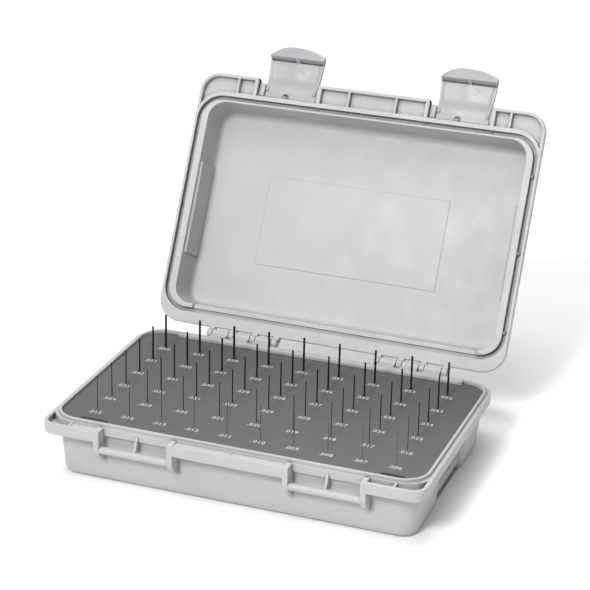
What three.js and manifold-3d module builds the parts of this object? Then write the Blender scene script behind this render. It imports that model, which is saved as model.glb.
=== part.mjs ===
// Pin gauge set: hinged plastic case, index panel over a pin block, and steel gauge pins.
// Millimetres, +Z up. Origin: centre of the case's flat bottom. +X right, +Y to the hinges.
import * as THREE from "three";
import { mergeVertices } from "three/addons/utils/BufferGeometryUtils.js";
import Module from "manifold-3d";

const wasm = await Module();
wasm.setup();

// ---- driving dimensions -------------------------------------------------------------
const PANEL_Z = 39;            // top of the index panel, also the shoulder the lid rests on
const TONGUE_TOP = 41;         // sealing tongue that stands above the shoulder
const RIM_LOW = 33;            // underside of the case rim
const FLANGE_LOW = 31.5;       // underside of the front flange
const RIM = { x: 126.2, y0: -76.4, y1: 82, r: 19 };
const TONGUE = { x: 123.2, y0: -75.2, y1: 78.6, r: 17 };
const WELL = { x: 121.3, y0: -73.3, y1: 76.7, r: 15 };
const FRONT_Y = -84.2;         // face of the front flange
const BASE_FLANGE_R = 9, LID_FLANGE_R = 13.5;
const BACK_PAD = [-99.4, 104]; // thicker length of tongue along the back
const TUB_TOP = { x: 121, y0: -74.6, y1: 76, r: 13 };
const TUB_LOW = { x: 118.4, y0: -72.8, y1: 73.4, r: 11 };
const FLOOR = 2.6;             // tub floor thickness
const LEDGE_Z = 36.6;          // ledge the index panel sits on
const RECESS_X = [-62.4, 63.6];
const RECESS_HALF = 23;        // half width of a latch recess in the base
const BAR = { y: -81.6, z: 25.8, r: 2.4 };
const LATCH_X = [-60.8, 64.7];
const LATCH_AXIS = { y: -85.5, z: 46.8 };
const LATCH_HALF = 19.8, LATCH_SHIFT = 1; // a latch hangs slightly right of the middle of its opening
const LATCH_GAP = 22.3;        // half width of the lid's opening for a latch
const HINGE_AXIS = { y: 91.5, z: 37.5 };
const HINGE_START = [-84.4, 37.6];
const EAR = 3.6, KNUCKLE = 11.5, HINGE_GAP = 0.4;
const KNUCKLE_R = 3.2, BORE_R = 1.6, HINGE_PIN_R = 1.25;
const LID_OPEN = 118;          // degrees the lid has swung from shut
const LID_LOW = 39.4;          // rim face of the shut lid
const LID_RIM = { x: 125.4, y0: -78.8, y1: 87.2, r: 16, rf: 20 };
const LID_FRONT_Y = -91.4;     // face of the lid's front flange
const LID_TOP = 68.6;
const CEILING = 65.6;          // inside face of the lid panel
const PIN_TOP = PANEL_Z + 23.6, PIN_LOW = PIN_TOP - 50.8;
const HOLE_GAP = 0.17;
const WALL_HALF = 3.2;         // half thickness of the block's wall under each gauge row
const BLOCK_TOP_LOW = 31;      // underside of the block's top plate
const GAUGE_ROWS = [           // first size in thousandths at the right end, pins, pitch, y
  { first: 6, count: 10, pitch: 22.22, y: -54.1 },
  { first: 16, count: 9, pitch: 25, y: -32.5 },
  { first: 25, count: 9, pitch: 25, y: -10.8 },
  { first: 34, count: 9, pitch: 25, y: 10.8 },
  { first: 43, count: 9, pitch: 25, y: 32.5 },
  { first: 52, count: 9, pitch: 25, y: 54.1 },
];
const SMALLEST_OWN_PIN = 11;   // thinner gauges have holes here but no body of their own

// ---- solid helpers ------------------------------------------------------------------
function toSolid(geometry) {
  const g = geometry.clone();
  for (const name of Object.keys(g.attributes)) if (name !== "position") g.deleteAttribute(name);
  const m = mergeVertices(g, 1e-5);
  return new wasm.Manifold(new wasm.Mesh({
    numProp: 3,
    vertProperties: new Float32Array(m.attributes.position.array),
    triVerts: new Uint32Array(m.index.array),
  }));
}

function toGeometry(solid) {
  const mesh = solid.getMesh();
  const g = new THREE.BufferGeometry();
  g.setAttribute("position", new THREE.BufferAttribute(new Float32Array(mesh.vertProperties), 3));
  g.setIndex(new THREE.BufferAttribute(new Uint32Array(mesh.triVerts), 1));
  return g;
}

const join = (...parts) => parts.flat().reduce((a, b) => a.add(b));
const cut = (from, ...parts) => parts.flat().reduce((a, b) => a.subtract(b), from);

// Stack of convex outlines of equal length, closed at both ends.
function loft(rings) {
  const n = rings[0].length, pos = [], idx = [];
  rings.forEach((ring) => ring.forEach((p) => pos.push(...p)));
  for (let k = 0; k + 1 < rings.length; k++) {
    for (let i = 0; i < n; i++) {
      const a = k * n + i, b = k * n + (i + 1) % n;
      idx.push(a, b, b + n, a, b + n, a + n);
    }
  }
  const top = (rings.length - 1) * n;
  for (let i = 1; i + 1 < n; i++) idx.push(0, i + 1, i, top, top + i, top + i + 1);
  const g = new THREE.BufferGeometry();
  g.setAttribute("position", new THREE.BufferAttribute(new Float32Array(pos), 3));
  g.setIndex(idx);
  return toSolid(g);
}

// Rounded rectangle at height z; x is a half width or [low, high], rf the radius of the front corners.
function roundRing({ x, y0, y1, r, rf = r }, z, steps = 6) {
  const [x0, x1] = Array.isArray(x) ? x : [-x, x];
  const out = [];
  const corners = [[x1 - rf, y0 + rf, -90, rf], [x1 - r, y1 - r, 0, r],
    [x0 + r, y1 - r, 90, r], [x0 + rf, y0 + rf, 180, rf]];
  for (const [cx, cy, start, radius] of corners) {
    for (let i = 0; i <= steps; i++) {
      const a = THREE.MathUtils.degToRad(start + 90 * i / steps);
      out.push([cx + radius * Math.cos(a), cy + radius * Math.sin(a), z]);
    }
  }
  return out;
}

const slab = (outline, z0, z1, steps) => loft([roundRing(outline, z0, steps), roundRing(outline, z1, steps)]);
const inset = ({ x, y0, y1, r, rf = r }, d) => (
  { x: x - d, y0: y0 + d, y1: y1 - d, r: Math.max(r - d, 0.5), rf: Math.max(rf - d, 0.5) });

function box(x0, x1, y0, y1, z0, z1) {
  const g = new THREE.BoxGeometry(x1 - x0, y1 - y0, z1 - z0);
  return toSolid(g.translate((x0 + x1) / 2, (y0 + y1) / 2, (z0 + z1) / 2));
}

// Rod along X.
function rodX(x0, x1, y, z, r, sides = 16) {
  const g = new THREE.CylinderGeometry(r, r, x1 - x0, sides);
  return toSolid(g.rotateZ(Math.PI / 2).translate((x0 + x1) / 2, y, z));
}

// Upright prism; sides run flat or pointed, r is the corner radius.
function postZ(x, y, z0, z1, r, sides = 8) {
  const g = new THREE.CylinderGeometry(r, r, z1 - z0, sides);
  return toSolid(g.rotateX(Math.PI / 2).translate(x, y, (z0 + z1) / 2));
}

// Profile in the Y-Z plane, pushed along X.
function profileX(points, x0, x1) {
  const shape = new THREE.Shape(points.map(([y, z]) => new THREE.Vector2(y, z)));
  const g = new THREE.ExtrudeGeometry(shape, { depth: x1 - x0, bevelEnabled: false });
  g.applyMatrix4(new THREE.Matrix4().set(0, 0, 1, x0, 1, 0, 0, 0, 0, 1, 0, 0, 0, 0, 0, 1));
  return toSolid(g);
}

// ---- case base ----------------------------------------------------------------------
function tubShell() {
  const outer = loft([
    roundRing(inset(TUB_LOW, 4), 0), roundRing(inset(TUB_LOW, 1.3), 1.2),
    roundRing(TUB_LOW, 4), roundRing(TUB_TOP, RIM_LOW + 1),
  ]);
  const inner = loft([
    roundRing(inset(TUB_LOW, 3.6), FLOOR), roundRing(inset(TUB_LOW, 2.6), FLOOR + 1.6),
    roundRing(inset(TUB_TOP, 2.6), LEDGE_Z + 0.5),
  ]);
  const grip = [-1, 1].map((s) => {
    const hollow = loft([roundRing({ x: [115.4, 128], y0: -28, y1: 31, r: 2 }, -1, 3),
      roundRing({ x: [117.9, 130], y0: -26.5, y1: 29.5, r: 2 }, RIM_LOW, 3)]);
    return s > 0 ? hollow : hollow.mirror([1, 0, 0]);
  });
  const inward = [-1, 1].map((s) => box(Math.min(s * 111.6, s * 130), Math.max(s * 111.6, s * 130),
    -31, 34, -1, LEDGE_Z + 0.6));
  return { outer: cut(outer, grip), inner: cut(inner, inward) };
}

function rimBody() {
  const flange = { x: RIM.x, y0: FRONT_Y, y1: RIM.y1, r: BASE_FLANGE_R };
  const behind = box(-150, 150, -60, 100, 0, 80);
  const front = cut(slab(flange, FLANGE_LOW, PANEL_Z), behind, slab(inset(RIM, 1), 0, 60));
  const pocket = cut(slab(inset(flange, 2.6), FLANGE_LOW + 3.4, PANEL_Z + 1), slab(RIM, 0, 60));
  const ribs = [-107, 0.8, 107].map((x) => box(x - 0.8, x + 0.8, -83, -76, FLANGE_LOW + 1, PANEL_Z));
  const walls = RECESS_X.flatMap((x) => [x - 25.4, x + 25.4]).map(
    (x) => box(x - 1.4, x + 1.4, -83, -76, FLANGE_LOW + 1, PANEL_Z));
  const open = RECESS_X.map((x) => box(x - RECESS_HALF, x + RECESS_HALF, -95, RIM.y0, 20, 60));
  const shallow = [[-107, RECESS_X[0] - 25], [RECESS_X[0] + 25, RECESS_X[1] - 25]].map(
    ([x0, x1]) => box(x0, x1, -83, -76, FLANGE_LOW + 1, PANEL_Z - 0.8));
  const pocketed = join(cut(front, cut(pocket, behind)), ribs, walls, shallow);
  return join(slab(RIM, RIM_LOW, PANEL_Z), slab(TONGUE, PANEL_Z - 1, TONGUE_TOP), cut(pocketed, open));
}

function latchRecess(xc) {
  const cheek = [[-84.2, 39], [-84.2, 26.5], [-82.8, 21.5], [-73.4, 15], [-72.4, 15], [-73.6, 35],
    [-73.6, 39]];
  const cheeks = [-1, 1].map((s) => {
    const a = xc + s * RECESS_HALF, b = xc + s * (RECESS_HALF + 3.8);
    return profileX(cheek, Math.min(a, b), Math.max(a, b));
  });
  const bar = rodX(xc - RECESS_HALF - 1, xc + RECESS_HALF + 1, BAR.y, BAR.z, BAR.r);
  const web = profileX([[-82, 25.8], [-77.4, 36.5], [-73.6, 36.5], [-73, 25.8]], xc - 0.9, xc + 0.9);
  return [...cheeks, bar, web];
}

// Start of each 11.5 mm knuckle and 3.6 mm ear along a hinge.
function hingeStations(x0) {
  const ears = [], knuckles = [];
  for (let i = 0, x = x0; i < 4; i++) {
    ears.push(x);
    knuckles.push(x + EAR + HINGE_GAP);
    x += EAR + KNUCKLE + 2 * HINGE_GAP;
  }
  return { ears, knuckles: knuckles.slice(0, 3), end: ears[3] + EAR };
}

function baseKnuckles(x0) {
  const { y, z } = HINGE_AXIS;
  const arm = [[80.5, RIM_LOW], [y + 0.6, z - KNUCKLE_R + 0.1], [y + 2, z], [y - 1, z + 1.4],
    [80.5, z + 1.2]];
  return hingeStations(x0).knuckles.flatMap((x) => [
    profileX(arm, x, x + KNUCKLE), rodX(x, x + KNUCKLE, y, z, KNUCKLE_R),
  ]);
}

function hingeBores() {
  const { y, z } = HINGE_AXIS;
  return HINGE_START.map((x) => rodX(x - 1, hingeStations(x).end + 1, y, z, BORE_R, 12));
}

function buildBase() {
  const { outer, inner } = tubShell();
  const well = slab(WELL, LEDGE_Z, TONGUE_TOP + 1);
  const backPad = slab({ x: BACK_PAD, y0: 73.4, y1: 78, r: 1 }, RIM_LOW + 1, TONGUE_TOP, 2);
  const body = cut(join(outer, rimBody()), inner, well);
  return cut(join(body, backPad, RECESS_X.flatMap(latchRecess), HINGE_START.flatMap(baseKnuckles)),
    hingeBores());
}

// ---- lid, drawn shut on the base ------------------------------------------------------
function lidShell() {
  const dome = loft([
    roundRing({ x: 120, y0: -75, y1: 77, r: 17 }, 44),
    roundRing({ x: 118.4, y0: -73.4, y1: 75.4, r: 16.4 }, 64),
    roundRing({ x: 117.2, y0: -72.2, y1: 74.2, r: 15.6 }, 67.2),
    roundRing({ x: 114, y0: -69, y1: 71, r: 13 }, LID_TOP),
  ]);
  const cavity = loft([
    roundRing({ x: 115.6, y0: -71.4, y1: 73.2, r: 12.4 }, LID_LOW - 1),
    roundRing({ x: 114.8, y0: -70, y1: 71.6, r: 11.4 }, 61),
    roundRing({ x: 114, y0: -69, y1: 70.4, r: 10.6 }, 64.4),
    roundRing({ x: 112, y0: -66, y1: 67.8, r: 9 }, CEILING),
  ]);
  const groove = cut(slab({ x: 123.5, y0: -75.6, y1: 79, r: 17.4 }, LID_LOW - 1, 43.2),
    slab({ x: 120.9, y0: -72.9, y1: 76.3, r: 14.6 }, LID_LOW - 2, 50));
  const sides = [-1, 1].map((s) => {
    const hollow = loft([roundRing({ x: [116.8, 128], y0: -25.5, y1: 35.5, r: 2 }, 45, 3),
      roundRing({ x: [114.8, 128], y0: -27, y1: 37, r: 2 }, 72, 3)]);
    return s > 0 ? hollow : hollow.mirror([1, 0, 0]);
  });
  const pads = [-1, 1].map((s) => {
    const pad = loft([roundRing({ x: [114, 117.4], y0: -28, y1: 38, r: 1.5 }, 42.2, 3),
      roundRing({ x: [112.9, 116.6], y0: -28.6, y1: 38.6, r: 1.5 }, CEILING + 1, 3)]);
    return s > 0 ? pad : pad.mirror([1, 0, 0]);
  });
  const padRoom = box(BACK_PAD[0] - 0.6, BACK_PAD[1] + 0.6, 72, 77, LID_LOW - 1, 42);
  const shell = cut(join(slab(LID_RIM, LID_LOW, 45), dome), cavity, groove, padRoom);
  return join(cut(shell, sides), pads);
}

function lidFlange() {
  const outline = { x: LID_RIM.x, y0: LID_FRONT_Y, y1: LID_RIM.y1, r: LID_FLANGE_R };
  const behind = box(-150, 150, -58, 100, 0, 80);
  const front = cut(slab(outline, LID_LOW, 45.4), behind, slab(inset(LID_RIM, 1), 0, 60));
  const pocket = cut(slab(inset(outline, 2.2), LID_LOW - 1, 43.6), slab(LID_RIM, 0, 60));
  const ribs = [-97.5, -15.5, 18.7, 100.3].map(
    (x) => box(x - 0.8, x + 0.8, LID_FRONT_Y + 1, -78.2, LID_LOW, 44.4));
  const walls = LATCH_X.flatMap((x) => [x - LATCH_GAP - 1.3, x + LATCH_GAP + 1.3]).map(
    (x) => box(x - 1.4, x + 1.4, LID_FRONT_Y + 1, -78.2, LID_LOW, 44.4));
  const open = LATCH_X.map((x) => box(x - LATCH_GAP, x + LATCH_GAP, -99, LID_RIM.y0, 20, 60));
  return cut(join(cut(front, pocket), ribs, walls), open);
}

// Cheeks beside a latch that carry its pivot rod.
function latchCheeks(xc) {
  const { y, z } = LATCH_AXIS;
  const cheek = [[-91, 42], [-74.5, 42], [-74.5, 53.5], [-79, 54], [y - 1, z + 3.8], [-90, z + 2.2]];
  return [-1, 1].flatMap((s) => {
    const a = xc + s * LATCH_GAP, b = xc + s * (LATCH_GAP + 2.7);
    return cut(profileX(cheek, Math.min(a, b), Math.max(a, b)),
      rodX(Math.min(a, b) - 1, Math.max(a, b) + 1, y, z, BORE_R, 12));
  });
}

function lidEars(x0) {
  const { y, z } = HINGE_AXIS;
  const arm = [[85, 40], [y - 3, z + 0.4], [y + 1.8, z + 2.4], [y - 1.2, z + 5.8], [85, 45]];
  return hingeStations(x0).ears.flatMap((x) => [
    profileX(arm, x, x + EAR), rodX(x, x + EAR, y, z, KNUCKLE_R),
  ]);
}

function lidNubs() {
  return [-1, 1].flatMap((s) => [-48.3, 4.6, 58.6].map((y) => postZ(s * 121.2, y, 41.5, 43.8, 1.4, 8)));
}

function buildLid() {
  const all = join(lidShell(), lidFlange(), LATCH_X.flatMap(latchCheeks), HINGE_START.flatMap(lidEars),
    lidNubs());
  return cut(all, hingeBores());
}

// ---- latch, drawn pointing straight out from the shut lid -----------------------------
// Local frame: pivot at the origin, plate runs to -Y, inner face looks to -Z.
function buildLatch(xc) {
  const h = LATCH_HALF;
  const plate = box(xc - h, xc + h, -24, 0, 0.8, 3);
  const barrel = rodX(xc - h, xc + h, 0, 0, 3);
  const rails = [-1, 1].map((s) => {
    const a = xc + s * h, b = xc + s * (h - 1.2);
    return box(Math.min(a, b), Math.max(a, b), -16, -1, -0.6, 1);
  });
  const rib = profileX([[-1, 1], [-1, -0.4], [-15, -0.4], [-17.5, 1]], xc - 1.3, xc + 1.3);
  const hookLine = [[-23.4, 1], [-23.6, -2.6], [-24.6, -3], [-32.4, 1.4], [-32.4, 3.2], [-28, 3.6], [-22, 3]];
  const hook = profileX(hookLine, xc - h, xc + h);
  const arc = new THREE.CylinderGeometry(28.4, 28.4, 20, 56).rotateX(Math.PI / 2).translate(xc, -4, 0);
  const round = join(toSolid(arc), box(xc - h, xc + h, -23.8, 5, -10, 10));
  const body = join(plate, barrel, rails, rib, hook.intersect(round));
  return cut(body, rodX(xc - h - 1, xc + h + 1, 0, 0, BORE_R, 12));
}

// ---- insert and gauges ----------------------------------------------------------------
function gaugePlaces() {
  return GAUGE_ROWS.flatMap(({ first, count, pitch, y }) => Array.from({ length: count }, (_, i) => ({
    size: first + i, x: pitch * ((count - 1) / 2 - i), y, r: (first + i) * 0.0254 / 2,
  })));
}

const pinHole = ({ x, y, r }, z0, z1) => postZ(x, y, z0, z1, r / Math.cos(Math.PI / 8) + HOLE_GAP, 8);

function buildPanel() {
  const z0 = LEDGE_Z + 0.2;
  const plate = slab(inset(WELL, 0.4), z0, PANEL_Z);
  const backCut = box(BACK_PAD[0] - 0.4, BACK_PAD[1] + 0.4, 73, 80, z0 - 1, PANEL_Z + 1);
  const notches = [[-105, -86], [94, 110]].map(
    (x) => slab({ x, y0: -80, y1: -66.6, r: 2.5 }, z0 - 1, PANEL_Z + 1, 3));
  return cut(plate, backCut, notches, gaugePlaces().map((p) => pinHole(p, z0 - 1, PANEL_Z + 1)));
}

function buildBlock() {
  const body = slab({ x: 110.8, y0: -68.4, y1: 68.8, r: 12 }, FLOOR + 0.2, LEDGE_Z, 4);
  const edges = [-80, ...GAUGE_ROWS.map((row) => row.y), 80];
  const bays = edges.slice(1).map((y, i) => box(-105, 105,
    i ? edges[i] + WALL_HALF : -80, i < GAUGE_ROWS.length ? y - WALL_HALF : 80, 0, BLOCK_TOP_LOW));
  const fingers = [[-105, -86], [94, 110]].map(
    (x) => slab({ x, y0: -76, y1: -66, r: 2.5 }, 24, LEDGE_Z + 1, 3));
  return cut(body, bays, fingers, gaugePlaces().map((p) => pinHole(p, PIN_LOW - 0.3, LEDGE_Z + 1)));
}

function buildGauge({ x, y, r }) {
  return postZ(x, y, PIN_LOW, PIN_TOP, r, 8);
}

// ---- assembly ---------------------------------------------------------------------------
const plastic = new THREE.MeshStandardMaterial({ color: 0xd0d0d2, roughness: 0.6 });
const latchPlastic = new THREE.MeshStandardMaterial({ color: 0xbfbfc3, roughness: 0.55 });
const panelPlastic = new THREE.MeshStandardMaterial({ color: 0x6e6e72, roughness: 0.8 });
const foam = new THREE.MeshStandardMaterial({ color: 0x38383a, roughness: 0.95 });
const steel = new THREE.MeshStandardMaterial({ color: 0x2a2a2c, roughness: 0.35, metalness: 1 });
const rodSteel = new THREE.MeshStandardMaterial({ color: 0x9a9a9e, roughness: 0.35, metalness: 1 });

const root = new THREE.Group();
root.name = "pin_gauge_set";

function place(parent, name, solid, material, shift = [0, 0, 0]) {
  const mesh = new THREE.Mesh(toGeometry(solid), material);
  mesh.name = name;
  mesh.position.set(...shift);
  parent.add(mesh);
}

// The lid group turns about the hinge line, so its children are drawn shut.
const lidGroup = new THREE.Group();
lidGroup.name = "lid_group";
lidGroup.position.set(0, HINGE_AXIS.y, HINGE_AXIS.z);
lidGroup.rotation.x = -THREE.MathUtils.degToRad(LID_OPEN);
root.add(lidGroup);
const fromHinge = [0, -HINGE_AXIS.y, -HINGE_AXIS.z];
const latchShift = [0, LATCH_AXIS.y - HINGE_AXIS.y, LATCH_AXIS.z - HINGE_AXIS.z];

place(root, "case_base", buildBase(), plastic);
place(lidGroup, "case_lid", buildLid(), plastic, fromHinge);
["left", "right"].forEach((side, i) => {
  const x = LATCH_X[i], xh = HINGE_START[i], rod = LATCH_GAP + 2.5;
  place(lidGroup, `latch_${side}`, buildLatch(x + LATCH_SHIFT), latchPlastic, latchShift);
  place(lidGroup, `latch_pin_${side}`, rodX(x - rod, x + rod, 0, 0, HINGE_PIN_R, 12), rodSteel, latchShift);
  place(root, `hinge_pin_${side}`,
    rodX(xh + 0.2, hingeStations(xh).end - 0.2, HINGE_AXIS.y, HINGE_AXIS.z, HINGE_PIN_R, 12), rodSteel);
});
place(root, "index_panel", buildPanel(), panelPlastic);
place(root, "pin_block", buildBlock(), foam);
for (const p of gaugePlaces()) {
  if (p.size < SMALLEST_OWN_PIN) continue;
  place(root, `gauge_pin_${String(p.size).padStart(3, "0")}`, buildGauge(p), steel);
}

export default root;
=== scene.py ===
import math
import random

import bmesh
import bpy
from mathutils import Matrix, Vector


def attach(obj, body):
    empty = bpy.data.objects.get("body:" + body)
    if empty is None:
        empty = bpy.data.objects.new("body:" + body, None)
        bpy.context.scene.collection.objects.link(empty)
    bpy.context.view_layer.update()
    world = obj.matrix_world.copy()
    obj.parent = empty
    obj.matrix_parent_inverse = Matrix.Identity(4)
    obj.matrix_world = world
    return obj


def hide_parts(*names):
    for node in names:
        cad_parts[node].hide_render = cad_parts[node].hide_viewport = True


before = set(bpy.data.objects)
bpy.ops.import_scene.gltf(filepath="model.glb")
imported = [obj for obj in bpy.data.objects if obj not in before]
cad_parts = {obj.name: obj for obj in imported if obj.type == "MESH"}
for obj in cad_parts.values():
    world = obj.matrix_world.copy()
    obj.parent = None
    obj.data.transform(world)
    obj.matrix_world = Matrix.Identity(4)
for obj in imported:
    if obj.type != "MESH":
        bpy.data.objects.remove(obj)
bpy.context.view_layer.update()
random.seed(7)

MM = 0.001

# ---- dimensions in millimetres, the same as the solids -------------------------------
PANEL_Z, TONGUE_TOP, RIM_LOW, FLANGE_LOW = 39.0, 41.0, 33.0, 31.5
RIM = (-126.2, 126.2, -76.4, 82, 19)
TONGUE = (-123.2, 123.2, -75.2, 78.6, 17)
WELL = (-121.3, 121.3, -73.3, 76.7, 15)
FRONT_Y, BASE_FLANGE_R, LID_FLANGE_R = -84.2, 9.0, 13.5
BACK_PAD = (-99.4, 104.0)
TUB_TOP = (-121, 121, -74.6, 76, 13)
TUB_LOW = (-118.4, 118.4, -72.8, 73.4, 11)
FLOOR, LEDGE_Z = 2.6, 36.6
RECESS_X, RECESS_HALF = (-62.4, 63.6), 23.0
BAR_Y, BAR_Z, BAR_R = -81.6, 25.8, 2.4
LATCH_X, LATCH_Y, LATCH_Z = (-60.8, 64.7), -85.5, 46.8
LATCH_HALF, LATCH_GAP, LATCH_SHIFT = 19.8, 22.3, 1.0
HINGE_Y, HINGE_Z = 91.5, 37.5
HINGE_START, EAR, KNUCKLE, HINGE_GAP = (-84.4, 37.6), 3.6, 11.5, 0.4
KNUCKLE_R, BORE_R, ROD_R = 3.2, 1.6, 1.25
LID_OPEN = math.radians(118)
LID_LOW, LID_TOP, CEILING = 39.4, 68.6, 65.6
LID_RIM, LID_FRONT_Y = (-125.4, 125.4, -78.8, 87.2, 16, 20), -91.4
PIN_TOP = PANEL_Z + 23.6
PIN_LOW = PIN_TOP - 50.8
ROWS = ((6, 10, 22.22, -54.1), (16, 9, 25, -32.5), (25, 9, 25, -10.8),
        (34, 9, 25, 10.8), (43, 9, 25, 32.5), (52, 9, 25, 54.1))

OPEN = (Matrix.Translation((0, HINGE_Y, HINGE_Z)) @ Matrix.Rotation(-LID_OPEN, 4, "X")
        @ Matrix.Translation((0, -HINGE_Y, -HINGE_Z)))


# ---- materials --------------------------------------------------------------------------
def node_tree(name):
    mat = bpy.data.materials.new(name)
    mat.use_nodes = True
    nt = mat.node_tree
    return mat, nt, nt.nodes["Principled BSDF"]


def mapped_noise(nt, scale, detail=4.0, rough=0.55, stretch=(1, 1, 1)):
    coord = nt.nodes.new("ShaderNodeTexCoord")
    mapping = nt.nodes.new("ShaderNodeMapping")
    mapping.inputs["Scale"].default_value = stretch
    noise = nt.nodes.new("ShaderNodeTexNoise")
    noise.inputs["Scale"].default_value = scale
    noise.inputs["Detail"].default_value = detail
    noise.inputs["Roughness"].default_value = rough
    nt.links.new(coord.outputs["Object"], mapping.inputs["Vector"])
    nt.links.new(mapping.outputs["Vector"], noise.inputs["Vector"])
    return noise


def ramp(nt, source, stops):
    node = nt.nodes.new("ShaderNodeValToRGB")
    el = node.color_ramp.elements
    while len(el) < len(stops):
        el.new(0.5)
    for e, (pos, col) in zip(el, stops):
        e.position = pos
        e.color = (*col, 1) if len(col) == 3 else col
    nt.links.new(source, node.inputs["Fac"])
    return node


def value_range(nt, source, low, high):
    node = nt.nodes.new("ShaderNodeMapRange")
    node.inputs["From Min"].default_value = 0.3
    node.inputs["From Max"].default_value = 0.7
    node.inputs["To Min"].default_value = low
    node.inputs["To Max"].default_value = high
    nt.links.new(source, node.inputs["Value"])
    return node


def add_bump(nt, bsdf, layers, soft_edge=0.0):
    """layers: (height output, strength, distance in metres), finest last."""
    last = None
    if soft_edge:
        bev = nt.nodes.new("ShaderNodeBevel")
        bev.samples = 4
        bev.inputs["Radius"].default_value = soft_edge
        last = bev.outputs["Normal"]
    for height, strength, distance in layers:
        b = nt.nodes.new("ShaderNodeBump")
        b.inputs["Strength"].default_value = strength
        b.inputs["Distance"].default_value = distance
        nt.links.new(height, b.inputs["Height"])
        if last:
            nt.links.new(last, b.inputs["Normal"])
        last = b.outputs["Normal"]
    nt.links.new(last, bsdf.inputs["Normal"])


def painted_crevice_shade(nt, colour, reach, deepest):
    """Painted shade: multiply a colour darker inside grooves and corners of the same piece, by ambient
    occlusion.
    """
    ao = nt.nodes.new("ShaderNodeAmbientOcclusion")
    ao.samples = 8
    ao.only_local = True
    ao.inputs["Distance"].default_value = reach
    tone = nt.nodes.new("ShaderNodeMapRange")
    tone.inputs["From Min"].default_value = 0.15
    tone.inputs["From Max"].default_value = 0.85
    tone.inputs["To Min"].default_value = deepest
    nt.links.new(ao.outputs["AO"], tone.inputs["Value"])
    mix = nt.nodes.new("ShaderNodeMix")
    mix.data_type = "RGBA"
    mix.blend_type = "MULTIPLY"
    mix.inputs["Factor"].default_value = 1.0
    nt.links.new(colour, mix.inputs["A"])
    nt.links.new(tone.outputs["Result"], mix.inputs["B"])
    return mix.outputs["Result"]


def moulded(name, dark, mid, light, rough, grain=1400.0, deepest=0.4, reach=0.0045):
    """Injection-moulded plastic: broad tone drift, flow marks, fine satin grain, painted shade in the
    grooves.
    """
    mat, nt, bsdf = node_tree(name)
    drift = mapped_noise(nt, 14.0, 5.0, 0.6)
    colour = ramp(nt, drift.outputs["Fac"], [(0.3, dark), (0.5, mid), (0.72, light)])
    # base colour darkened by painted shade in grooves and corners
    nt.links.new(painted_crevice_shade(nt, colour.outputs["Color"], reach, deepest), bsdf.inputs["Base Color"])
    smear = mapped_noise(nt, 60.0, 3.0, 0.5, (1, 0.35, 1))
    r = value_range(nt, smear.outputs["Fac"], rough - 0.05, rough + 0.06)
    nt.links.new(r.outputs["Result"], bsdf.inputs["Roughness"])
    wave = mapped_noise(nt, 22.0, 2.0, 0.5)
    fine = mapped_noise(nt, grain, 2.0, 0.6)
    add_bump(nt, bsdf, [(wave.outputs["Fac"], 0.12, 0.0006), (fine.outputs["Fac"], 0.10, 0.00006)], 0.0005)
    bsdf.inputs["IOR"].default_value = 1.49
    bsdf.inputs["Specular IOR Level"].default_value = 0.42
    return mat


def panel_material():
    """Dark grey sheet with a fine pebble texture and a faint dusty drift."""
    mat, nt, bsdf = node_tree("panel_sheet")
    drift = mapped_noise(nt, 9.0, 6.0, 0.65)
    colour = ramp(nt, drift.outputs["Fac"], [(0.28, (0.086, 0.085, 0.092)), (0.52, (0.094, 0.093, 0.100)),
                                             (0.75, (0.103, 0.102, 0.109))])
    nt.links.new(colour.outputs["Color"], bsdf.inputs["Base Color"])
    smear = mapped_noise(nt, 35.0, 3.0)
    r = value_range(nt, smear.outputs["Fac"], 0.56, 0.68)
    nt.links.new(r.outputs["Result"], bsdf.inputs["Roughness"])
    pebble = mapped_noise(nt, 900.0, 2.0, 0.5)
    add_bump(nt, bsdf, [(pebble.outputs["Fac"], 0.22, 0.00008)], 0.0003)
    bsdf.inputs["Specular IOR Level"].default_value = 0.35
    return mat


def ground_steel(name, dark, light, rough, ring_scale=2600.0):
    """Cylindrically ground steel: fine rings round the shaft and a patchy oxide film."""
    mat, nt, bsdf = node_tree(name)
    patch = mapped_noise(nt, 160.0, 4.0, 0.6)
    colour = ramp(nt, patch.outputs["Fac"], [(0.32, dark), (0.7, light)])
    nt.links.new(colour.outputs["Color"], bsdf.inputs["Base Color"])
    rings = mapped_noise(nt, ring_scale, 2.0, 0.5, (0.05, 0.05, 1))
    r = value_range(nt, rings.outputs["Fac"], rough - 0.07, rough + 0.1)
    nt.links.new(r.outputs["Result"], bsdf.inputs["Roughness"])
    add_bump(nt, bsdf, [(rings.outputs["Fac"], 0.15, 0.00002)])
    bsdf.inputs["Metallic"].default_value = 1.0
    return mat


def ink_material():
    mat, nt, bsdf = node_tree("number_ink")
    worn = mapped_noise(nt, 700.0, 3.0, 0.6)
    colour = ramp(nt, worn.outputs["Fac"], [(0.3, (0.44, 0.44, 0.45)), (0.6, (0.58, 0.58, 0.59))])
    nt.links.new(colour.outputs["Color"], bsdf.inputs["Base Color"])
    bsdf.inputs["Roughness"].default_value = 0.55
    add_bump(nt, bsdf, [(worn.outputs["Fac"], 0.1, 0.00002)])
    return mat


CASE = moulded("case_plastic_grain", (0.405, 0.405, 0.412), (0.430, 0.430, 0.436),
               (0.452, 0.452, 0.457), 0.46)
# latch moulding: deeper painted shade in its grooves and corners
LATCH = moulded("latch_plastic_grain", (0.315, 0.315, 0.330), (0.345, 0.345, 0.358),
                (0.375, 0.375, 0.386), 0.38, 1800.0, 0.2, 0.005)
BLOCK = moulded("block_plastic_grain", (0.040, 0.040, 0.044), (0.050, 0.050, 0.054),
                (0.062, 0.062, 0.066), 0.6)
PANEL = panel_material()
STEEL = ground_steel("gauge_steel_ground", (0.030, 0.030, 0.033), (0.062, 0.062, 0.066), 0.36)
ROD = ground_steel("rod_steel_drawn", (0.42, 0.42, 0.43), (0.52, 0.52, 0.53), 0.3)
INK = ink_material()


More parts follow.
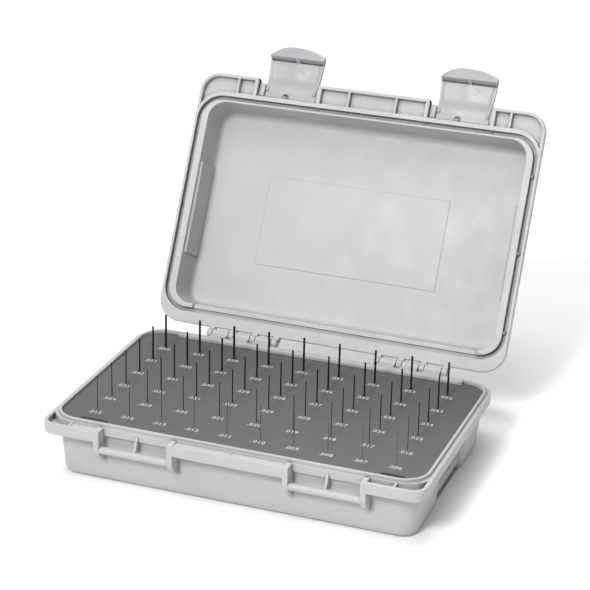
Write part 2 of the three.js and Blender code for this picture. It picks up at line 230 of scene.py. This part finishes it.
# ---- mesh building ------------------------------------------------------------------------
def finish_piece(name, bm, material, body, node=None, matrix=None, bevel=0.0, sharp=38, segments=3):
    """Turn a millimetre bmesh into a riding piece with weighted normals."""
    if matrix is not None:
        bmesh.ops.transform(bm, matrix=matrix, verts=bm.verts)
    bmesh.ops.transform(bm, matrix=Matrix.Scale(MM, 4), verts=bm.verts)
    for f in bm.faces:
        f.smooth = True
    for e in bm.edges:
        if len(e.link_faces) == 2:
            e.smooth = e.calc_face_angle(0) < math.radians(sharp)
    mesh = bpy.data.meshes.new(name)
    bm.to_mesh(mesh)
    bm.free()
    mesh.materials.append(material)
    obj = bpy.data.objects.new(name, mesh)
    bpy.context.scene.collection.objects.link(obj)
    if bevel:
        m = obj.modifiers.new("edge", "BEVEL")
        m.width = bevel * MM
        m.segments = segments
        m.limit_method = "ANGLE"
        m.angle_limit = math.radians(35)
        m.harden_normals = False
        m.use_clamp_overlap = True
    w = obj.modifiers.new("normals", "WEIGHTED_NORMAL")
    w.keep_sharp = not bevel
    w.weight = 60
    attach(obj, body)
    if node:
        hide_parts(*([node] if isinstance(node, str) else node))
    return obj


def inset(o, d):
    x0, x1, y0, y1, *radii = o
    return (x0 + d, x1 - d, y0 + d, y1 - d, *(max(r - d, 0.5) for r in radii))


def ring(o, z, side_y=(), end_x=(), steps=10):
    """Rounded rectangle at height z with extra stations on its sides; o ends with back and front radii."""
    x0, x1, y0, y1, r, rf = o
    pts = []

    def across(y, radius, order):
        pts.extend((min(max(x, x0 + radius), x1 - radius), y, z) for x in order)

    def along(x, order):
        pts.extend((x, min(max(y, y0 + rf), y1 - r), z) for y in order)

    def arc(cx, cy, radius, start):
        for i in range(steps + 1):
            a = math.radians(start + 90 * i / steps)
            pts.append((cx + radius * math.cos(a), cy + radius * math.sin(a), z))
    across(y0, rf, end_x)
    arc(x1 - rf, y0 + rf, rf, -90)
    along(x1, side_y)
    arc(x1 - r, y1 - r, r, 0)
    across(y1, r, reversed(end_x))
    arc(x0 + r, y1 - r, r, 90)
    along(x0, reversed(side_y))
    arc(x0 + rf, y0 + rf, rf, 180)
    return pts


def outline(o, z):
    """Path station (x0, x1, y0, y1, back radius, front radius, z)."""
    return (*o[:5], o[5] if len(o) > 5 else o[4], z)


def soften(path, radii, steps=4):
    """Round over each inner station of a path of outlines by its radius."""
    path = [outline(o, z) for o, z in path]
    out = [path[0]]
    for i in range(1, len(path) - 1):
        a, b, c, r = path[i - 1], path[i], path[i + 1], radii[i]
        if r <= 0:
            out.append(b)
            continue

        def toward(p):
            d = math.hypot(max(abs(p[0] - b[0]), abs(p[2] - b[2]), abs(p[3] - b[3])), p[6] - b[6])
            t = min(r / max(d, 1e-6), 0.48)
            return [b[k] + (p[k] - b[k]) * t for k in range(7)]
        s, e = toward(a), toward(c)
        for k in range(steps + 1):
            t = k / steps
            out.append(tuple((1 - t) ** 2 * s[j] + 2 * t * (1 - t) * b[j] + t * t * e[j] for j in range(7)))
    out.append(path[-1])
    return out


def loft(rings, bend=None):
    """Closed skin through equal rings, capped at both ends."""
    bm = bmesh.new()
    rows = []
    for pts in rings:
        rows.append([bm.verts.new(bend(*p) if bend else p) for p in pts])
    n = len(rows[0])
    for a, b in zip(rows, rows[1:]):
        for i in range(n):
            bm.faces.new((a[i], a[(i + 1) % n], b[(i + 1) % n], b[i]))
    bm.faces.new(list(reversed(rows[0])))
    bm.faces.new(rows[-1])
    return bm


def prism(points, axis, low, high):
    """Outline pushed along an axis: 'Z' takes (x, y) points, 'X' takes (y, z), 'Y' takes (x, z)."""
    place = {"Z": lambda p, d: (p[0], p[1], d), "X": lambda p, d: (d, p[0], p[1]),
             "Y": lambda p, d: (p[0], d, p[1])}[axis]
    bm = bmesh.new()
    a = [bm.verts.new(place(p, low)) for p in points]
    b = [bm.verts.new(place(p, high)) for p in points]
    n = len(points)
    for i in range(n):
        bm.faces.new((a[i], a[(i + 1) % n], b[(i + 1) % n], b[i]))
    bm.faces.new(list(reversed(a)))
    bm.faces.new(b)
    bmesh.ops.recalc_face_normals(bm, faces=bm.faces)
    return bm


def block(x0, x1, y0, y1, z0, z1):
    return prism([(x0, y0), (x1, y0), (x1, y1), (x0, y1)], "Z", z0, z1)


def turned_x(profile, y, z, sides=32):
    """Closed (x, radius) loop turned about a line along X."""
    bm = bmesh.new()
    rows = []
    for x, r in profile:
        if r < 1e-6:
            rows.append([bm.verts.new((x, y, z))])
        else:
            rows.append([bm.verts.new((x, y + r * math.cos(t), z + r * math.sin(t)))
                         for t in (2 * math.pi * k / sides for k in range(sides))])
    pairs = list(zip(rows, rows[1:]))
    if len(rows[0]) > 1:
        pairs.append((rows[-1], rows[0]))
    for a, b in pairs:
        for i in range(sides):
            j = (i + 1) % sides
            q = [a[i % len(a)], a[j % len(a)], b[j % len(b)], b[i % len(b)]]
            q = list(dict.fromkeys(q))
            if len(q) > 2:
                bm.faces.new(q)
    return bm


def rod(x0, x1, y, z, r, edge=0.25):
    return turned_x([(x0, 0), (x0, r - edge), (x0 + edge, r), (x1 - edge, r), (x1, r - edge), (x1, 0)], y, z)


def sleeve(x0, x1, y, z, ro, ri, e=0.35):
    return turned_x([(x0, ri + 0.15), (x0, ro - e), (x0 + 0.3 * e, ro - 0.3 * e), (x0 + e, ro), (x1 - e, ro),
                     (x1 - 0.3 * e, ro - 0.3 * e), (x1, ro - e), (x1, ri + 0.15), (x1 - 0.15, ri),
                     (x0 + 0.15, ri)], y, z)


def soft_bm(bm, width, segments=3):
    """Round the outer edges of a small solid."""
    bmesh.ops.recalc_face_normals(bm, faces=bm.faces)
    edges = [e for e in bm.edges if len(e.link_faces) == 2 and e.calc_face_angle(0) > math.radians(28)]
    if edges:
        bmesh.ops.bevel(bm, geom=edges, offset=width, offset_type="OFFSET", segments=segments,
                        profile=0.5, affect="EDGES", clamp_overlap=True)
    return bm


def gather(*parts):
    out = bmesh.new()
    for bm in parts:
        bmesh.ops.remove_doubles(bm, verts=bm.verts, dist=1e-4)
        bmesh.ops.recalc_face_normals(bm, faces=bm.faces)
        tmp = bpy.data.meshes.new("tmp")
        bm.to_mesh(tmp)
        bm.free()
        out.from_mesh(tmp)
        bpy.data.meshes.remove(tmp)
    return out


def arc_points(cx, cy, r, a0, a1, n=10):
    return [(cx + r * math.cos(math.radians(a0 + (a1 - a0) * i / n)),
             cy + r * math.sin(math.radians(a0 + (a1 - a0) * i / n)))
            for i in range(n + 1)]


def mirror_x(points):
    return [(-x, y) for x, y in reversed(points)]


def step(t):
    t = min(max(t, 0.0), 1.0)
    return t * t * (3 - 2 * t)


# ---- case base ------------------------------------------------------------------------------
def grip_weight(y, y0, y1, edge=3.0):
    return step((y - y0) / edge) * step((y1 - y) / edge)


def build_tub():
    path = [(inset(TUB_LOW, 4), 0), (inset(TUB_LOW, 1.1), 0.9), (TUB_LOW, 4), (TUB_TOP, RIM_LOW),
            (RIM, RIM_LOW), (RIM, PANEL_Z), (TONGUE, PANEL_Z), (TONGUE, TONGUE_TOP), (WELL, TONGUE_TOP),
            (WELL, LEDGE_Z), (inset(TUB_TOP, 2.6), LEDGE_Z), (inset(TUB_LOW, 2.6), FLOOR + 2),
            (inset(TUB_LOW, 5), FLOOR)]
    radii = [0, 1.2, 2.2, 0.8, 0.7, 0.7, 0.4, 0.5, 0.5, 0.3, 0.4, 1.2, 0]
    side = [-34, -28, -27.25, -26.5, -25.75, -25, -10, 0, 10, 28, 28.75, 29.5, 30.25, 31, 36, 48]
    rings = [ring(p[:6], p[6], side) for p in soften(path, radii)]

    def bend(x, y, z):
        w = grip_weight(y, -28, 31)
        if w > 0 and z < RIM_LOW - 0.2 and abs(x) > 116.2:
            depth = 3.0
            return (x - math.copysign(depth * w * step((RIM_LOW - z) / 1.5), x), y, z)
        return (x, y, z)
    return loft(rings, bend)


def corner_line(x_side, y_front, r, x_end, y_end):
    """Left front corner from a recess round to the side."""
    return [(x_end, y_front)] + arc_points(-x_side + r, y_front + r, r, 270, 180, 14) + [(-x_side, y_end)]


def corner_segment(x_side, y_front, radius, wall_y, x_end, side, z, thick, y_root):
    """Flange wall and pocket floor round a front corner; z is wall low and high, floor low and high."""
    o, i = (x_side, y_front, radius), (x_side - thick, y_front + thick, radius - thick)
    wall = corner_line(*o, x_end, wall_y) + list(reversed(corner_line(*i, x_end, wall_y)))
    f = (x_side - 0.6, y_front + 0.6, radius - 0.6)
    floor = corner_line(*f, x_end, wall_y) + [(-x_side + 8, wall_y), (-x_side + 22, y_root), (x_end, y_root)]
    if side > 0:
        wall, floor = mirror_x(wall), mirror_x(floor)
    return [soft_bm(prism(wall, "Z", z[0], z[1]), 0.5), prism(floor, "Z", z[2], z[3])]


def flange_parts():
    xl, xr = RECESS_X
    z = (FLANGE_LOW, PANEL_Z - 0.05, FLANGE_LOW + 0.06, FLANGE_LOW + 3.4)
    parts = corner_segment(RIM[1] - 0.04, FRONT_Y, BASE_FLANGE_R, -59, xl - RECESS_HALF - 1, -1, z, 2.6, -75)
    parts += corner_segment(RIM[1] - 0.04, FRONT_Y, BASE_FLANGE_R, -59, -(xr + RECESS_HALF + 1), 1, z,
                            2.6, -75)
    m0, m1 = xl + RECESS_HALF + 1, xr - RECESS_HALF - 1
    parts.append(soft_bm(block(m0, m1, FRONT_Y, FRONT_Y + 2.6, z[0], z[1]), 0.5))
    parts.append(block(m0, m1, FRONT_Y + 0.6, -75, z[2], PANEL_Z - 0.8))
    parts.append(block(-107, xl - RECESS_HALF - 1, FRONT_Y + 0.7, -75.1, z[2] + 0.1, PANEL_Z - 0.8))
    for x in (-107, 0.8, 107):
        parts.append(soft_bm(block(x - 0.8, x + 0.8, -82.9, -75.6, FLANGE_LOW + 1, PANEL_Z - 0.3), 0.25, 2))
    return parts


def recess_parts(xc):
    parts = []
    cheek = [(-84.25, 39), (-84.25, 26.8), (-83.9, 24.4), (-82.8, 22), (-80.4, 19.9),
             (-75.6, 16.4), (-73.6, 15.2),
             (-72.2, 16), (-73.6, 35), (-73.6, 39)]
    for s in (-1, 1):
        a, b = sorted((xc + s * RECESS_HALF, xc + s * (RECESS_HALF + 3.8)))
        parts.append(soft_bm(prism(cheek, "X", a, b), 0.5))
        wall = sorted((xc + s * (RECESS_HALF + 0.05), xc + s * (RECESS_HALF + 3.75)))
        parts.append(soft_bm(block(*wall, -83.9, -75.6, FLANGE_LOW + 1, PANEL_Z - 0.02), 0.4))
    parts.append(rod(xc - RECESS_HALF - 1, xc + RECESS_HALF + 1, BAR_Y, BAR_Z, BAR_R))
    web = [(-82, 25.8), (-77.4, 36.3), (-73.6, 36.3), (-73, 25.8)]
    parts.append(soft_bm(prism(web, "X", xc - 0.9, xc + 0.9), 0.3, 2))
    return parts


def stations(x0):
    ears, knuckles, x = [], [], x0
    for _ in range(4):
        ears.append(x)
        knuckles.append(x + EAR + HINGE_GAP)
        x += EAR + KNUCKLE + 2 * HINGE_GAP
    return ears, knuckles[:3]


def base_knuckles(x0):
    y, z = HINGE_Y, HINGE_Z
    arm = [(80.5, 33.1), (y - 2.6, z - 3), (y - 1.7, z - 2.4), (y - 2.0, z), (y - 2.2, z + 1.3),
           (80.5, z + 1.2)]
    parts = []
    for x in stations(x0)[1]:
        parts.append(soft_bm(prism(arm, "X", x, x + KNUCKLE), 0.4))
        parts.append(sleeve(x, x + KNUCKLE, y, z, KNUCKLE_R, BORE_R))
    return parts


def build_base():
    pad = soft_bm(block(*BACK_PAD, 73.4, 78, RIM_LOW + 1, TONGUE_TOP - 0.03), 0.35)
    parts = [build_tub(), pad, *flange_parts()]
    for x in RECESS_X:
        parts += recess_parts(x)
    for x in HINGE_START:
        parts += base_knuckles(x)
    finish_piece("case_base_shell", gather(*parts), CASE, "case", "case_base")


# ---- lid ------------------------------------------------------------------------------------
def build_lid_shell():
    groove_out, groove_in = (-123.5, 123.5, -75.6, 79, 17.4), (-120.6, 120.6, -72.7, 76.2, 14.5)
    path = [((-110, 110, -65, 67, 10), LID_TOP), ((-114, 114, -69, 71, 13), LID_TOP),
            ((-117.2, 117.2, -72.2, 74.2, 15.6), 67.2), ((-118.4, 118.4, -73.4, 75.4, 16.4), 64),
            ((-120, 120, -75, 77, 17), 45), (LID_RIM, 45), (LID_RIM, LID_LOW), (groove_out, LID_LOW),
            (groove_out, 43.2),
            (groove_in, 43.2), (groove_in, LID_LOW), ((-115.6, 115.6, -71.4, 73.2, 12.4), LID_LOW),
            ((-114.8, 114.8, -70, 71.6, 11.4), 61), ((-114, 114, -69, 70.4, 10.6), 64.4),
            ((-112, 112, -66, 67.8, 9), CEILING), ((-108, 108, -62, 64, 7), CEILING)]
    radii = [0, 2.2, 1.8, 1.0, 0.8, 0.7, 0.7, 0.4, 0.4, 0.4, 0.5, 0.5, 1.0, 1.4, 1.6, 0]
    side = [-40, -28, -27, -26, -25, -24, -10, 5, 20, 34, 35, 36, 37, 38, 44, 52]
    back = [-101, -100.6, -100, -99.4, -50, 0, 50, 104, 104.6, 105.2]

    def bend(x, y, z):
        if 72.5 < y < 76.6 and z < 42 and step((x + 100.6) / 1.2) * step((105.2 - x) / 1.2) > 0.3:
            z = 42
        return (x, y, z)
    return loft([ring(p[:6], p[6], side, back) for p in soften(path, radii)], bend)


def lid_grip(bm):
    """Hollow in the outside of the lid wall between its corner blocks."""
    for v in bm.verts:
        x, y, z = v.co
        w = grip_weight(y, -27, 37)
        if w > 0 and z > 45.4 and abs(x) > 116.9:
            depth = 0.6 + 2.2 * (z - 45) / 20
            v.co.x -= math.copysign(depth * w * step((z - 45.4) / 1.5), x)


def lid_flange_parts():
    xl, xr = LATCH_X
    f = LID_FRONT_Y
    z = (LID_LOW + 0.05, 45.4, 43.6, 45.35)
    parts = corner_segment(LID_RIM[1] - 0.04, f, LID_FLANGE_R, -60, xl - LATCH_GAP, -1, z, 2.2, -78)
    parts += corner_segment(LID_RIM[1] - 0.04, f, LID_FLANGE_R, -60, -(xr + LATCH_GAP), 1, z, 2.2, -78)
    m0, m1 = xl + LATCH_GAP, xr - LATCH_GAP
    parts.append(soft_bm(block(m0, m1, f, f + 2.2, z[0], z[1]), 0.5))
    parts.append(block(m0 + 0.3, m1 - 0.3, f + 0.6, -78, z[2], z[3]))
    for x in (-97.5, -15.5, 18.7, 100.3):
        parts.append(soft_bm(block(x - 0.8, x + 0.8, f + 1.4, -78, LID_LOW + 0.25, 44.4), 0.25, 2))
    for x in (xl - LATCH_GAP - 1.3, m0 + 1.3, m1 - 1.3, xr + LATCH_GAP + 1.3):
        parts.append(soft_bm(block(x - 1.3, x + 1.3, f + 0.08, -78, LID_LOW + 0.02, 45.3), 0.45))
    return parts


def cheek_parts(xc):
    y, z = LATCH_Y, LATCH_Z
    cheek = [(-91, 42), (-74.5, 42), (-74.5, 53.5), (-79, 54), (y - 1, z + 3.8), (y - 3.2, z + 3.2),
             (-90, z + 1.8)]
    parts = []
    for s in (-1, 1):
        a, b = sorted((xc + s * LATCH_GAP, xc + s * (LATCH_GAP + 2.7)))
        parts.append(soft_bm(prism(cheek, "X", a, b), 0.4))
    return parts


def lid_ears(x0):
    y, z = HINGE_Y, HINGE_Z
    arm = [(85, 40), (y - 3, z + 1.2), (y - 1.8, z + 2.0), (y + 0.2, z + 2.6), (y + 0.6, z + 3),
           (y - 1.6, z + 5.6), (85, 45)]
    parts = []
    for x in stations(x0)[0]:
        parts.append(soft_bm(prism(arm, "X", x, x + EAR), 0.35))
        parts.append(sleeve(x, x + EAR, y, z, KNUCKLE_R, BORE_R))
    return parts


def build_lid():
    shell = build_lid_shell()
    lid_grip(shell)
    parts = [shell, *lid_flange_parts()]
    for s in (-1, 1):
        pad = [(s * 117.6, 42.2), (s * 114.4, 42.2), (s * 113.9, 43.2), (s * 112.9, CEILING + 0.8),
               (s * 116.4, CEILING + 0.8)]
        parts.append(soft_bm(prism(pad, "Y", -28, 38.4), 0.9, 4))
        for y in (-48.3, 4.6, 58.6):
            parts.append(nub(s * 121.1, y, 43.6, 41.25, 1.7))
    rectangle = [(-70.2, -27.1), (62.6, -27.1), (62.6, 36.4), (-70.2, 36.4)]
    parts.append(soft_bm(prism(rectangle, "Z", CEILING - 0.22, CEILING + 1), 0.16, 2))
    for x in LATCH_X:
        parts += cheek_parts(x)
        for a, b in ((-LATCH_GAP - 0.2, LATCH_SHIFT - 19.1), (LATCH_SHIFT + 19.1, LATCH_GAP + 0.2)):
            boss = [(-89, 44), (-79.4, 43), (-79.4, 48.6), (-86, 49.6), (-89, 48)]
            parts.append(soft_bm(prism(boss, "X", x + a, x + b), 0.8))
        parts.append(nub(x + LATCH_SHIFT - 3.4, -79.9, 44.6, 41.6, 1.4))
    for x in HINGE_START:
        parts += lid_ears(x)
    finish_piece("case_lid_shell", gather(*parts), CASE, "lid", "case_lid", OPEN)


def nub(x, y, z_root, z_tip, r, sides=20, rings=5):
    """Small round-ended peg."""
    bm = bmesh.new()
    rows = [[bm.verts.new((x + r * math.cos(t), y + r * math.sin(t), z_root)) for t in
             (2 * math.pi * k / sides for k in range(sides))]]
    h = z_tip - z_root
    for i in range(1, rings):
        a = math.pi / 2 * i / rings
        rr, zz = r * math.cos(a), z_root + h * (0.3 + 0.7 * math.sin(a))
        rows.append([bm.verts.new((x + rr * math.cos(t), y + rr * math.sin(t), zz)) for t in
                     (2 * math.pi * k / sides for k in range(sides))])
    tip = bm.verts.new((x, y, z_tip))
    for a, b in zip(rows, rows[1:]):
        for i in range(sides):
            bm.faces.new((a[i], a[(i + 1) % sides], b[(i + 1) % sides], b[i]))
    for i in range(sides):
        bm.faces.new((rows[-1][i], rows[-1][(i + 1) % sides], tip))
    bm.faces.new(list(reversed(rows[0])))
    return bm


# ---- latches: pivot at the origin, plate to -Y, inner face to -Z ------------------------------
def half_width(y):
    """Latch half width: narrow at the pivot, full at the hook."""
    return 18.6 + (LATCH_HALF - 18.6) * step((-y - 1.0) / 22.0)


def plate_inner(u, y, x):
    root = -1.8 + 2.4 * step((-1.7 - y) / 8.0)
    hollow = step((0.94 - abs(u)) / 0.1) * step((-y - 3.0) / 6.0) * step((23.0 + y) / 2.5)
    swell = 0.35 * math.exp(-((x - 0.6) / 5.0) ** 2)
    mark = 0.3 * math.exp(-((x - 7 - 0.5 * (y + 15)) / 3.0) ** 2 - ((y + 16) / 2.6) ** 2)
    slot = 1.1 * step((-20.9 - y) / 0.9) * step((0.985 - abs(u)) / 0.03)
    notch = 2.2 * step((2.2 - math.hypot(x + 3.4, y - 4.8)) / 0.5)
    return root + (0.5 - swell - mark) * hollow + notch + slot


def latch_plate():
    """Slightly hollow plate from above the rod down past it to the rim, with a round notch at its root."""
    nu, nv, y0, y1 = 72, 76, 5.6, -23.7
    bm = bmesh.new()

    def row(j, outer):
        y = y0 + (y1 - y0) * j / nv
        out = []
        for i in range(nu + 1):
            u = -1 + 2 * i / nu
            x = u * half_width(y)
            if outer:
                z = min(3.0 + 0.3 * (1 - u * u), 1.6 + 2.0 * step((5.8 - y) / 5.0))
            else:
                z = min(plate_inner(u, y, x), 1.9)
            out.append(bm.verts.new((x, y, z)))
        return out
    lower = [row(j, False) for j in range(nv + 1)]
    upper = [row(j, True) for j in range(nv + 1)]
    for j in range(nv):
        for i in range(nu):
            bm.faces.new((lower[j][i], lower[j][i + 1], lower[j + 1][i + 1], lower[j + 1][i]))
            bm.faces.new((upper[j][i], upper[j + 1][i], upper[j + 1][i + 1], upper[j][i + 1]))
        bm.faces.new((lower[j][0], lower[j + 1][0], upper[j + 1][0], upper[j][0]))
        bm.faces.new((lower[j][nu], upper[j][nu], upper[j + 1][nu], lower[j + 1][nu]))
    for i in range(nu):
        bm.faces.new((lower[0][i], upper[0][i], upper[0][i + 1], lower[0][i + 1]))
        bm.faces.new((lower[nv][i], lower[nv][i + 1], upper[nv][i + 1], upper[nv][i]))
    return bm


def latch_parts():
    h = LATCH_HALF
    parts = [latch_plate(), tab_part(h)]
    for s in (-1, 1):
        a, b = sorted((s * (h - 1.4), s * (h - 3.4)))
        parts.append(sleeve(a, b, 0, 0, 2.7, BORE_R))
        a, b = sorted((s * (h - 0.25), s * (h - 1.3)))
        parts.append(soft_bm(prism([(-22, 1.4), (-23.8, -1.6), (-24, 1.4)], "X", a, b), 0.2, 2))
    web = [(-20.9, 1.4), (-21.4, 0.2), (-23.2, -2.2), (-24.4, -2.6), (-24.4, 1.4)]
    parts.append(soft_bm(prism(web, "X", -0.6, 2.2), 0.3, 3))
    return parts


def tab_part(h):
    """Thumb tab past the hook ledge: a wedge with an arched outline, highest left of centre."""
    n = 48
    bm = bmesh.new()
    cols = []
    for i in range(n + 1):
        u = -1 + 2 * i / n
        x = h * u
        lift = 1 - 0.74 * ((u + 0.16) / 1.16) ** 2.4 if u > -0.16 else 1 - 0.9 * (abs(u + 0.16) / 0.84) ** 2.4
        tip = -25.4 - 6.8 * lift
        y0 = -23.5
        span = y0 - tip
        dip = 0.35 * math.exp(-((x + 0.6) / 0.9) ** 2)
        col = []
        for t, zi in ((0.0, -2.5 + dip), (0.05, -2.95 + dip), (0.35, -2.1), (0.7, -0.7),
                      (0.93, 0.6), (1.0, 1.5)):
            col.append((x, y0 - span * t, zi))
        for t, zo in ((0.95, 2.7), (0.6, 3.5), (0.25, 3.65)):
            col.append((x, y0 - span * t, zo))
        col.append((x * 0.995, y0 + 1.9, 3.2))
        col.append((x, y0 + 1.7, 1.9))
        cols.append([bm.verts.new(c) for c in col])
    m = len(cols[0])
    for a, b in zip(cols, cols[1:]):
        for k in range(m):
            bm.faces.new((a[k], a[(k + 1) % m], b[(k + 1) % m], b[k]))
    bm.faces.new(list(reversed(cols[0])))
    bm.faces.new(cols[-1])
    return bm


def build_latches():
    for side, x in zip(("left", "right"), LATCH_X):
        place = OPEN @ Matrix.Translation((x, LATCH_Y, LATCH_Z))
        hung = place @ Matrix.Translation((LATCH_SHIFT, 0, 0))
        finish_piece(f"latch_{side}_moulding", gather(*latch_parts()), LATCH, f"latch_{side[0]}",
                     f"latch_{side}", hung, sharp=42)
        reach = LATCH_GAP + 2.5
        finish_piece(f"latch_rod_{side}", gather(rod(-reach, reach, 0, 0, ROD_R)), ROD, "lid",
                     f"latch_pin_{side}", place)


def build_hinge_rods():
    for side, x0 in zip(("left", "right"), HINGE_START):
        x1 = x0 + 4 * EAR + 3 * KNUCKLE + 6 * HINGE_GAP
        finish_piece(f"hinge_rod_{side}", gather(rod(x0 + 0.2, x1 - 0.2, HINGE_Y, HINGE_Z, ROD_R)), ROD,
                     "case",
                     f"hinge_pin_{side}")


# ---- gauges and their numbers -------------------------------------------------------------------
def gauge_places():
    for first, count, pitch, y in ROWS:
        for i in range(count):
            yield first + i, pitch * ((count - 1) / 2 - i), y


def gauge_mesh(size, x, y):
    r = size * 0.0254 / 2
    sides = 20 if size > 25 else 12
    c = r * 0.3
    profile = [(PIN_LOW, 0), (PIN_LOW, r - c), (PIN_LOW + c, r), (PIN_TOP - c, r),
               (PIN_TOP - c * 0.3, r - c * 0.3),
               (PIN_TOP, r - c), (PIN_TOP, 0)]
    bm = bmesh.new()
    rows = []
    for z, rr in profile:
        if rr < 1e-6:
            rows.append([bm.verts.new((x, y, z))])
        else:
            rows.append([bm.verts.new((x + rr * math.cos(t), y + rr * math.sin(t), z))
                         for t in (2 * math.pi * k / sides for k in range(sides))])
    for a, b in zip(rows, rows[1:]):
        for i in range(sides):
            j = (i + 1) % sides
            q = list(dict.fromkeys([a[i % len(a)], a[j % len(a)], b[j % len(b)], b[i % len(b)]]))
            bm.faces.new(q)
    return bm


def build_gauges():
    thin = []
    for size, x, y in gauge_places():
        bm = gauge_mesh(size, x, y)
        if size < 11:
            thin.append(bm)
            continue
        finish_piece(f"gauge_{size:03d}_shaft", gather(bm), STEEL, f"gauge_{size:03d}",
                     f"gauge_pin_{size:03d}")
    finish_piece("gauges_006_to_010", gather(*thin), STEEL, "insert")


def build_numbers():
    out = bmesh.new()
    for size, x, y in gauge_places():
        curve = bpy.data.curves.new("number", "FONT")
        curve.body = f".{size:03d}"
        curve.size = 5.0
        curve.align_x = "CENTER"
        curve.align_y = "CENTER"
        curve.extrude = 0.02
        curve.resolution_u = 3
        curve.offset = 0.03
        curve.space_character = 1.08
        temp = bpy.data.objects.new("number", curve)
        bpy.context.scene.collection.objects.link(temp)
        bpy.context.view_layer.update()
        mesh = bpy.data.meshes.new_from_object(temp.evaluated_get(bpy.context.evaluated_depsgraph_get()))
        mesh.transform(Matrix.Translation((x, y - 3.8, PANEL_Z + 0.02)))
        out.from_mesh(mesh)
        bpy.data.meshes.remove(mesh)
        bpy.data.objects.remove(temp)
        bpy.data.curves.remove(curve)
    finish_piece("size_numbers", out, INK, "insert")


def dress_cad_nodes():
    for name, mat in (("index_panel", PANEL), ("pin_block", BLOCK)):
        obj = bpy.data.objects[name]
        if obj.material_slots:
            for s in obj.material_slots:
                s.material = mat
        else:
            obj.data.materials.append(mat)


# ---- stage, light and camera ----------------------------------------------------------------------
def build_stage():
    mesh = bpy.data.meshes.new("floor")
    s = 6.0
    mesh.from_pydata([(-s, -s, 0), (s, -s, 0), (s, s, 0), (-s, s, 0)], [], [(0, 1, 2, 3)])
    floor = bpy.data.objects.new("floor", mesh)
    bpy.context.scene.collection.objects.link(floor)
    floor.location.z = -0.0002
    mat, _, bsdf = node_tree("studio_floor")
    bsdf.inputs["Base Color"].default_value = (0.93, 0.93, 0.93, 1)
    bsdf.inputs["Roughness"].default_value = 0.9
    mesh.materials.append(mat)


def area_light(name, loc, target, size, power):
    data = bpy.data.lights.new(name, "AREA")
    data.shape = "DISK"
    data.size = size
    data.energy = power
    obj = bpy.data.objects.new(name, data)
    obj.location = loc
    obj.rotation_euler = (Vector(target) - Vector(loc)).to_track_quat("-Z", "Y").to_euler()
    bpy.context.scene.collection.objects.link(obj)


def build_light():
    world = bpy.data.worlds.new("studio")
    world.use_nodes = True
    nt = world.node_tree
    coord = nt.nodes.new("ShaderNodeTexCoord")
    split = nt.nodes.new("ShaderNodeSeparateXYZ")
    nt.links.new(coord.outputs["Generated"], split.inputs["Vector"])
    tones = [(0.0, (0.16, 0.16, 0.16)), (0.2, (0.22, 0.22, 0.22)), (1.0, (0.62, 0.62, 0.62))]
    sky = ramp(nt, split.outputs["Z"], tones)
    nt.links.new(sky.outputs["Color"], nt.nodes["Background"].inputs["Color"])
    nt.nodes["Background"].inputs["Strength"].default_value = 1.0
    bpy.context.scene.world = world
    bpy.context.scene.view_settings.view_transform = "Standard"
    area_light("key", (-0.35, -2.05, 1.75), (0, 0.05, 0.08), 0.7, 50)
    area_light("top", (-0.2, -0.5, 2.4), (0, 0, 0.05), 1.6, 20)
    area_light("fill", (1.7, -0.9, 0.8), (0, 0, 0.05), 1.2, 2)
    area_light("backdrop", (-0.6, 2.6, 2.4), (-0.9, 2.4, 0), 2.0, 60)


def build_camera():
    az, el, roll = map(math.radians, (19.861, 22.221, 1.359))
    back = Vector((math.sin(az) * math.cos(el), -math.cos(az) * math.cos(el), math.sin(el)))
    right = (-back).cross(Vector((0, 0, 1))).normalized()
    up = right.cross(-back)
    r = right * math.cos(roll) + up * math.sin(roll)
    u = up * math.cos(roll) - right * math.sin(roll)
    m = Matrix((r, u, back)).transposed().to_4x4()
    m.translation = Vector((420.8, -1131.1, 607.0)) * MM
    data = bpy.data.cameras.new("camera")
    data.sensor_width = 36
    data.lens = 36 * 2066.956 / 590
    data.clip_start = 0.05
    cam = bpy.data.objects.new("camera", data)
    cam.matrix_world = m
    bpy.context.scene.collection.objects.link(cam)
    bpy.context.scene.camera = cam


build_base()
build_lid()
build_latches()
build_hinge_rods()
build_gauges()
build_numbers()
dress_cad_nodes()
build_stage()
build_light()
build_camera()
